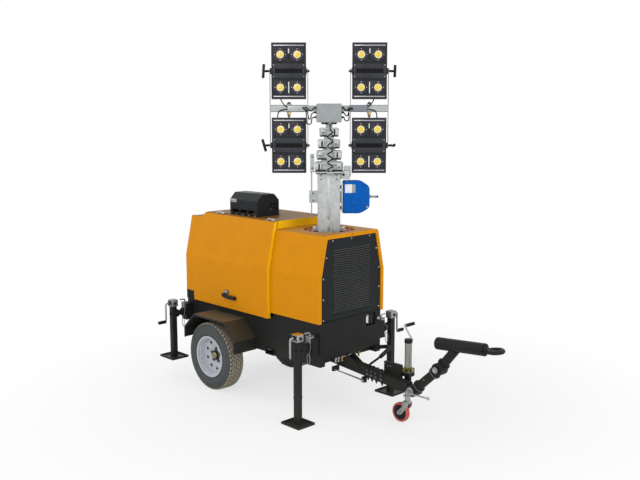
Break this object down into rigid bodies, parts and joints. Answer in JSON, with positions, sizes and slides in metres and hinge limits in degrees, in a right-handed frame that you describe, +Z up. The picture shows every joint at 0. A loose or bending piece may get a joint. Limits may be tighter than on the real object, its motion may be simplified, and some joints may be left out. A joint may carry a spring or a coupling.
{
  "type": "mobile light tower",
  "caption": "Towable light tower: sheet-metal generator housing on one axle with swing-up legs, adjustable drawbar and a turning telescopic mast carrying tilting LED floodlights.",
  "frame": {"origin": "on the ground, at the middle of the overall length and width", "axes": "+X towards the towing eye, +Y to the left, +Z up"},
  "size_m": [3.5547, 1.546, 3.221],
  "materials": {
    "orange_paint": "glossy orange powder coat",
    "black_paint": "semi-gloss black paint",
    "galvanised_steel": "galvanised, lightly spangled",
    "tyre_rubber": "dull black rubber",
    "rim_paint": "silver paint",
    "lamp_casting": "dark grey anodised casting",
    "winch_paint": "glossy blue paint",
    "box_plastic": "light grey moulded plastic",
    "red_polyurethane": "red polyurethane",
    "ring_primer": "red primer",
    "engine_grey": "plain grey",
    "cord_rubber": "black cord sheath"
  },
  "bodies": {
    "chassis": {"base_frame": "black_paint", "housing_rear": "orange_paint", "housing_front": "orange_paint", "front_grille": "black_paint", "radiator": "engine_grey", "engine_block": "engine_grey", "exhaust_guard": "black_paint", "axle": "black_paint", "fender_left": "black_paint", "fender_right": "black_paint", "drawbar": "black_paint", "jack_tube": "galvanised_steel"},
    "wheel_left": {"tyre_left": "tyre_rubber", "rim_left": "rim_paint"},
    "wheel_right": {"tyre_right": "tyre_rubber", "rim_right": "rim_paint"},
    "door_left": {"door_left": "orange_paint"},
    "door_right": {"door_right": "orange_paint"},
    "leg_front_right": {"leg_outer_front_right": "black_paint"},
    "leg_front_left": {"leg_outer_front_left": "black_paint"},
    "leg_rear_right": {"leg_outer_rear_right": "black_paint"},
    "leg_rear_left": {"leg_outer_rear_left": "black_paint"},
    "foot_front_right": {"leg_inner_front_right": "black_paint"},
    "foot_front_left": {"leg_inner_front_left": "black_paint"},
    "foot_rear_right": {"leg_inner_rear_right": "black_paint"},
    "foot_rear_left": {"leg_inner_rear_left": "black_paint"},
    "link_arm": {"link_arm": "black_paint"},
    "tow_head": {"tow_head": "black_paint"},
    "jack_inner": {"jack_inner": "galvanised_steel"},
    "caster_fork": {"caster_fork": "galvanised_steel"},
    "caster_wheel": {"caster_wheel": "red_polyurethane"},
    "mast": {"mast_tube": "galvanised_steel", "mast_ring": "ring_primer", "winch": "winch_paint", "winch_crank": "galvanised_steel", "mast_cord": "cord_rubber"},
    "mast_section_1": {"mast_section_1": "galvanised_steel"},
    "mast_section_2": {"mast_section_2": "galvanised_steel"},
    "mast_section_3": {"mast_section_3": "galvanised_steel"},
    "mast_section_4": {"mast_section_4": "galvanised_steel"},
    "mast_section_5": {"mast_section_5": "galvanised_steel", "crossbar": "galvanised_steel", "junction_box": "box_plastic"},
    "lamp_upper_left": {"lamp_upper_left": "lamp_casting"},
    "lamp_upper_right": {"lamp_upper_right": "lamp_casting"},
    "lamp_lower_left": {"lamp_lower_left": "lamp_casting"},
    "lamp_lower_right": {"lamp_lower_right": "lamp_casting"}
  },
  "joints": [
    {"name": "wheel_left_spin", "type": "hinge", "parent": "chassis", "child": "wheel_left", "pos_m": [-1.103, 0.5, 0.325], "axis": [0, 1, 0], "continuous": true},
    {"name": "wheel_right_spin", "type": "hinge", "parent": "chassis", "child": "wheel_right", "pos_m": [-1.103, -0.5, 0.325], "axis": [0, 1, 0], "continuous": true},
    {"name": "door_left_hinge", "type": "hinge", "parent": "chassis", "child": "door_left", "pos_m": [-1.103, 0.312, 1.674], "axis": [1, 0, 0], "range_deg": [0, 80]},
    {"name": "door_right_hinge", "type": "hinge", "parent": "chassis", "child": "door_right", "pos_m": [-1.103, -0.312, 1.674], "axis": [-1, 0, 0], "range_deg": [0, 80]},
    {"name": "leg_front_right_swing", "type": "hinge", "parent": "chassis", "child": "leg_front_right", "pos_m": [0.151, -0.597, 0.65], "axis": [0, -1, 0], "range_deg": [0, 90]},
    {"name": "leg_front_left_swing", "type": "hinge", "parent": "chassis", "child": "leg_front_left", "pos_m": [0.151, 0.597, 0.65], "axis": [0, -1, 0], "range_deg": [0, 90]},
    {"name": "leg_rear_right_swing", "type": "hinge", "parent": "chassis", "child": "leg_rear_right", "pos_m": [-1.668, -0.597, 0.65], "axis": [0, 1, 0], "range_deg": [0, 90]},
    {"name": "leg_rear_left_swing", "type": "hinge", "parent": "chassis", "child": "leg_rear_left", "pos_m": [-1.668, 0.597, 0.65], "axis": [0, 1, 0], "range_deg": [0, 90]},
    {"name": "leg_front_right_slide", "type": "slide", "parent": "leg_front_right", "child": "foot_front_right", "axis": [0, 0, -1], "range_m": [-0.205, 0.195]},
    {"name": "leg_front_left_slide", "type": "slide", "parent": "leg_front_left", "child": "foot_front_left", "axis": [0, 0, -1], "range_m": [-0.205, 0.195]},
    {"name": "leg_rear_right_slide", "type": "slide", "parent": "leg_rear_right", "child": "foot_rear_right", "axis": [0, 0, -1], "range_m": [0, 0.4]},
    {"name": "leg_rear_left_slide", "type": "slide", "parent": "leg_rear_left", "child": "foot_rear_left", "axis": [0, 0, -1], "range_m": [0, 0.4]},
    {"name": "drawbar_lower_joint", "type": "hinge", "parent": "chassis", "child": "link_arm", "pos_m": [0.931, 0, 0.353], "axis": [0, -1, 0], "range_deg": [-43, 17]},
    {"name": "drawbar_upper_joint", "type": "hinge", "parent": "link_arm", "child": "tow_head", "pos_m": [1.183, 0, 0.589], "axis": [0, -1, 0], "range_deg": [-17, 43]},
    {"name": "jack_slide", "type": "slide", "parent": "chassis", "child": "jack_inner", "axis": [0, 0, 1], "range_m": [-0.15, 0.07]},
    {"name": "caster_swivel", "type": "hinge", "parent": "jack_inner", "child": "caster_fork", "pos_m": [0.787, 0.085, 0.2424], "axis": [0, 0, 1], "continuous": true},
    {"name": "caster_spin", "type": "hinge", "parent": "caster_fork", "child": "caster_wheel", "pos_m": [0.717, 0.085, 0.085], "axis": [0, 1, 0], "continuous": true},
    {"name": "mast_turn", "type": "hinge", "parent": "chassis", "child": "mast", "pos_m": [-0.078, 0, 0.866], "axis": [0, 0, 1], "range_deg": [-125, 215]},
    {"name": "mast_slide_1", "type": "slide", "parent": "mast", "child": "mast_section_1", "axis": [0, 0, 1], "range_m": [0, 1.05], "deforming": ["mast_cord"]},
    {"name": "mast_slide_2", "type": "slide", "parent": "mast_section_1", "child": "mast_section_2", "axis": [0, 0, 1], "range_m": [0, 1.05]},
    {"name": "mast_slide_3", "type": "slide", "parent": "mast_section_2", "child": "mast_section_3", "axis": [0, 0, 1], "range_m": [0, 1.05]},
    {"name": "mast_slide_4", "type": "slide", "parent": "mast_section_3", "child": "mast_section_4", "axis": [0, 0, 1], "range_m": [0, 1.05]},
    {"name": "mast_slide_5", "type": "slide", "parent": "mast_section_4", "child": "mast_section_5", "axis": [0, 0, 1], "range_m": [0, 1.05]},
    {"name": "lamp_upper_left_tilt", "type": "hinge", "parent": "mast_section_5", "child": "lamp_upper_left", "pos_m": [-0.32549, -0.24749, 2.98], "axis": [0.7071, 0.7071, 0], "range_deg": [-45, 90]},
    {"name": "lamp_upper_right_tilt", "type": "hinge", "parent": "mast_section_5", "child": "lamp_upper_right", "pos_m": [0.16949, 0.24749, 2.98], "axis": [0.7071, 0.7071, 0], "range_deg": [-45, 90]},
    {"name": "lamp_lower_left_tilt", "type": "hinge", "parent": "mast_section_5", "child": "lamp_lower_left", "pos_m": [-0.32549, -0.24749, 2.34], "axis": [0.7071, 0.7071, 0], "range_deg": [-45, 90]},
    {"name": "lamp_lower_right_tilt", "type": "hinge", "parent": "mast_section_5", "child": "lamp_lower_right", "pos_m": [0.16949, 0.24749, 2.34], "axis": [0.7071, 0.7071, 0], "range_deg": [-45, 90]}
  ],
  "couplings": [
    {"joint": "mast_slide_2", "follows": "mast_slide_1", "ratio": 1},
    {"joint": "mast_slide_3", "follows": "mast_slide_1", "ratio": 1},
    {"joint": "mast_slide_4", "follows": "mast_slide_1", "ratio": 1},
    {"joint": "mast_slide_5", "follows": "mast_slide_1", "ratio": 1}
  ]
}
